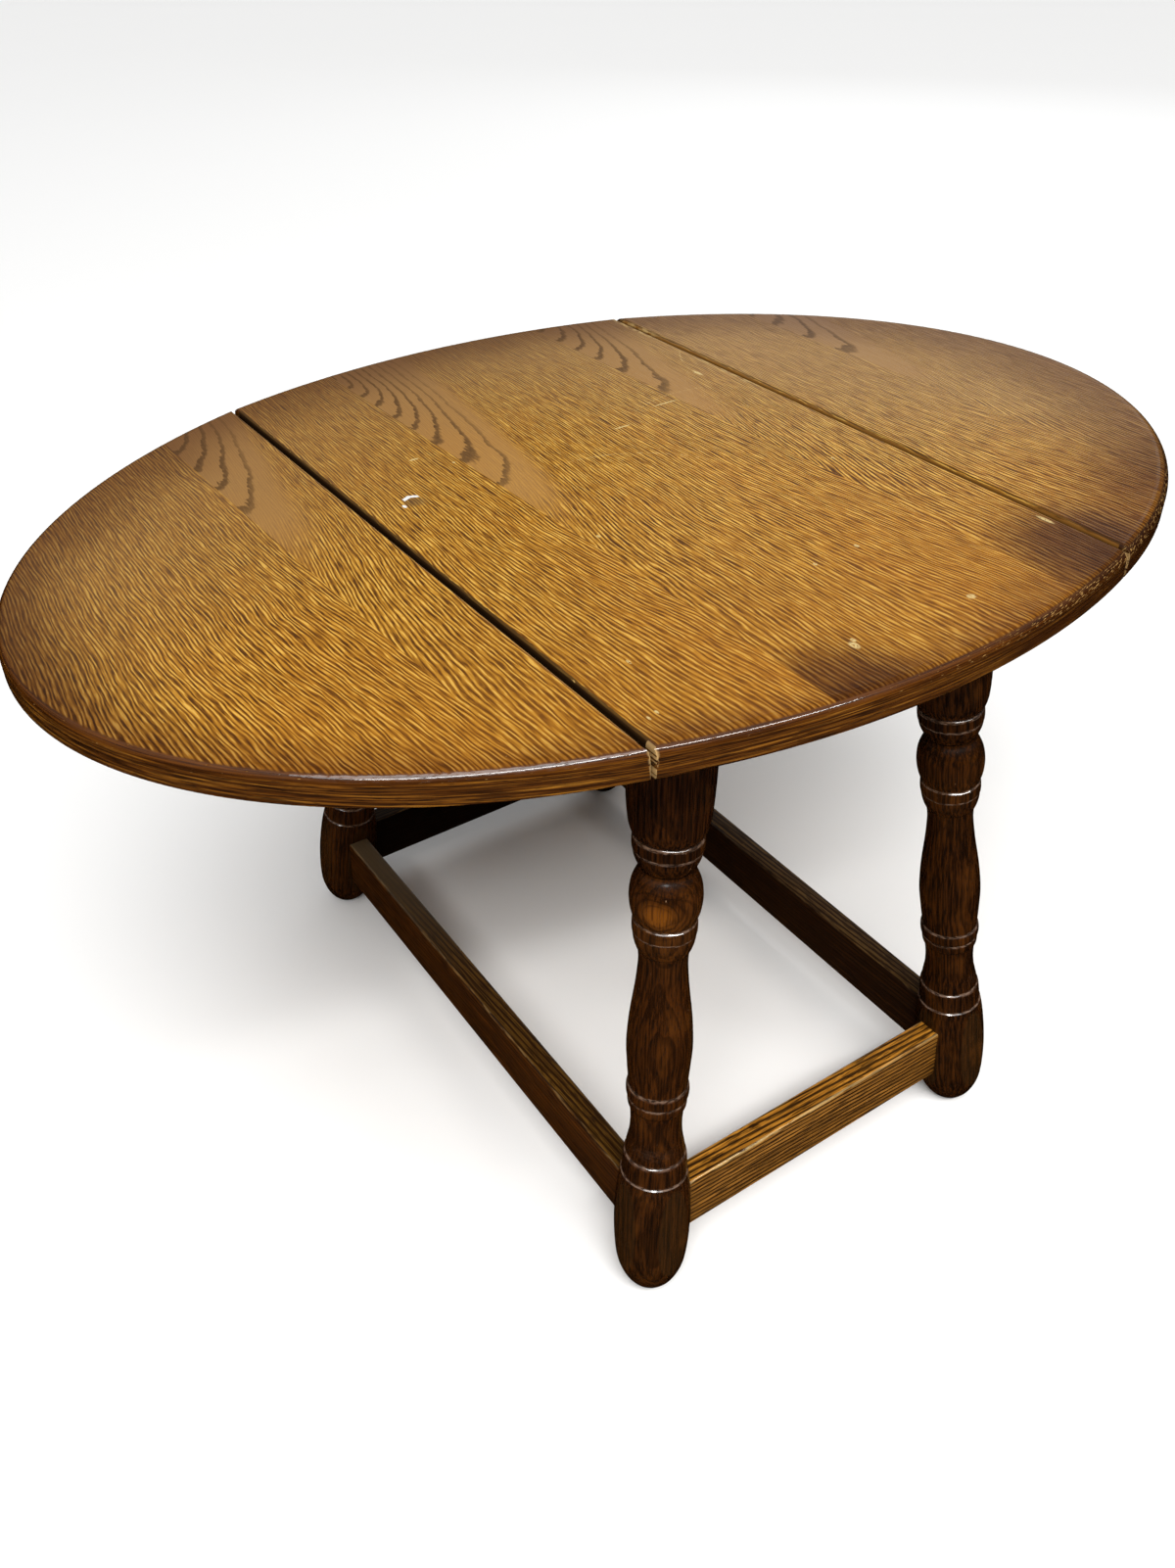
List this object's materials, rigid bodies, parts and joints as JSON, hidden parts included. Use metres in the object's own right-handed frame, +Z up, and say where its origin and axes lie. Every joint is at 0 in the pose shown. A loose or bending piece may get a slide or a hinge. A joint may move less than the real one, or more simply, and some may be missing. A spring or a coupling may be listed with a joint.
{
  "type": "drop leaf side table",
  "caption": "Low oval side table in dark oak: hinged drop leaves on pull-out bearers, splayed turned legs, rails and a box stretcher.",
  "frame": {"origin": "on the floor under the middle of the top", "axes": "+X across the leaves towards the right leaf, +Y along the hinge lines towards the back, +Z up"},
  "size_m": [0.7806, 0.55, 0.45],
  "materials": {
    "top_veneer": "dark stained oak veneer, satin lacquer, darker towards the rim",
    "edge_lipping": "dark red-brown stained oak, glossy lacquer, grain running round the rim",
    "turned_oak": "very dark stained oak, glossy lacquer, worn lighter on the turnings",
    "stretcher_oak": "golden brown stained oak, open grain, worn arrises",
    "rail_oak": "dark stained oak, satin lacquer",
    "inner_beech": "plain hardwood, thin stain, unpolished",
    "hinge_brass": "dulled brass plate",
    "screw_steel": "dull steel"
  },
  "bodies": {
    "frame": {"centre_board": "top_veneer", "centre_lipping_back": "edge_lipping", "centre_lipping_front": "edge_lipping", "end_rail_back": "rail_oak", "end_rail_front": "rail_oak", "end_stretcher_back": "stretcher_oak", "end_stretcher_front": "stretcher_oak", "fixing_block_back": "inner_beech", "fixing_block_front": "inner_beech", "fixing_block_left": "inner_beech", "fixing_block_right": "inner_beech", "fixing_block_screws": "screw_steel", "hinge_left_back_fixed_flap": "hinge_brass", "hinge_left_back_pin": "hinge_brass", "hinge_left_front_fixed_flap": "hinge_brass", "hinge_left_front_pin": "hinge_brass", "hinge_right_back_fixed_flap": "hinge_brass", "hinge_right_back_pin": "hinge_brass", "hinge_right_front_fixed_flap": "hinge_brass", "hinge_right_front_pin": "hinge_brass", "hinge_screws_centre": "screw_steel", "leg_back_left": "turned_oak", "leg_back_right": "turned_oak", "leg_front_left": "turned_oak", "leg_front_right": "turned_oak", "loper_guide_left": "inner_beech", "loper_guide_right": "inner_beech", "loper_stop_dowels": "inner_beech", "side_rail_left": "rail_oak", "side_rail_right": "rail_oak", "side_stretcher_left": "stretcher_oak", "side_stretcher_right": "stretcher_oak"},
    "left_leaf": {"cleat_screws_left": "screw_steel", "hinge_left_back_moving_flap": "hinge_brass", "hinge_left_front_moving_flap": "hinge_brass", "hinge_screws_left_leaf": "screw_steel", "leaf_cleat_left_back": "inner_beech", "leaf_cleat_left_front": "inner_beech", "left_leaf_board": "top_veneer", "left_leaf_lipping": "edge_lipping"},
    "right_leaf": {"cleat_screws_right": "screw_steel", "hinge_right_back_moving_flap": "hinge_brass", "hinge_right_front_moving_flap": "hinge_brass", "hinge_screws_right_leaf": "screw_steel", "leaf_cleat_right_back": "inner_beech", "leaf_cleat_right_front": "inner_beech", "right_leaf_board": "top_veneer", "right_leaf_lipping": "edge_lipping"},
    "loper_left_back": {"loper_left_back": "inner_beech"},
    "loper_left_front": {"loper_left_front": "inner_beech"},
    "loper_right_back": {"loper_right_back": "inner_beech"},
    "loper_right_front": {"loper_right_front": "inner_beech"}
  },
  "joints": [
    {"name": "left_leaf_hinge", "type": "hinge", "parent": "frame", "child": "left_leaf", "pos_m": [-0.1655, 0, 0.4285], "axis": [0, -1, 0], "range_deg": [-1.55, 88.45]},
    {"name": "right_leaf_hinge", "type": "hinge", "parent": "frame", "child": "right_leaf", "pos_m": [0.1655, 0, 0.4285], "axis": [0, 1, 0], "range_deg": [-1.55, 88.45]},
    {"name": "loper_left_front_slide", "type": "slide", "parent": "frame", "child": "loper_left_front", "axis": [1, 0, 0], "range_m": [-0.14, 0]},
    {"name": "loper_left_back_slide", "type": "slide", "parent": "frame", "child": "loper_left_back", "axis": [1, 0, 0], "range_m": [-0.14, 0]},
    {"name": "loper_right_front_slide", "type": "slide", "parent": "frame", "child": "loper_right_front", "axis": [-1, 0, 0], "range_m": [-0.14, 0]},
    {"name": "loper_right_back_slide", "type": "slide", "parent": "frame", "child": "loper_right_back", "axis": [-1, 0, 0], "range_m": [-0.14, 0]}
  ]
}
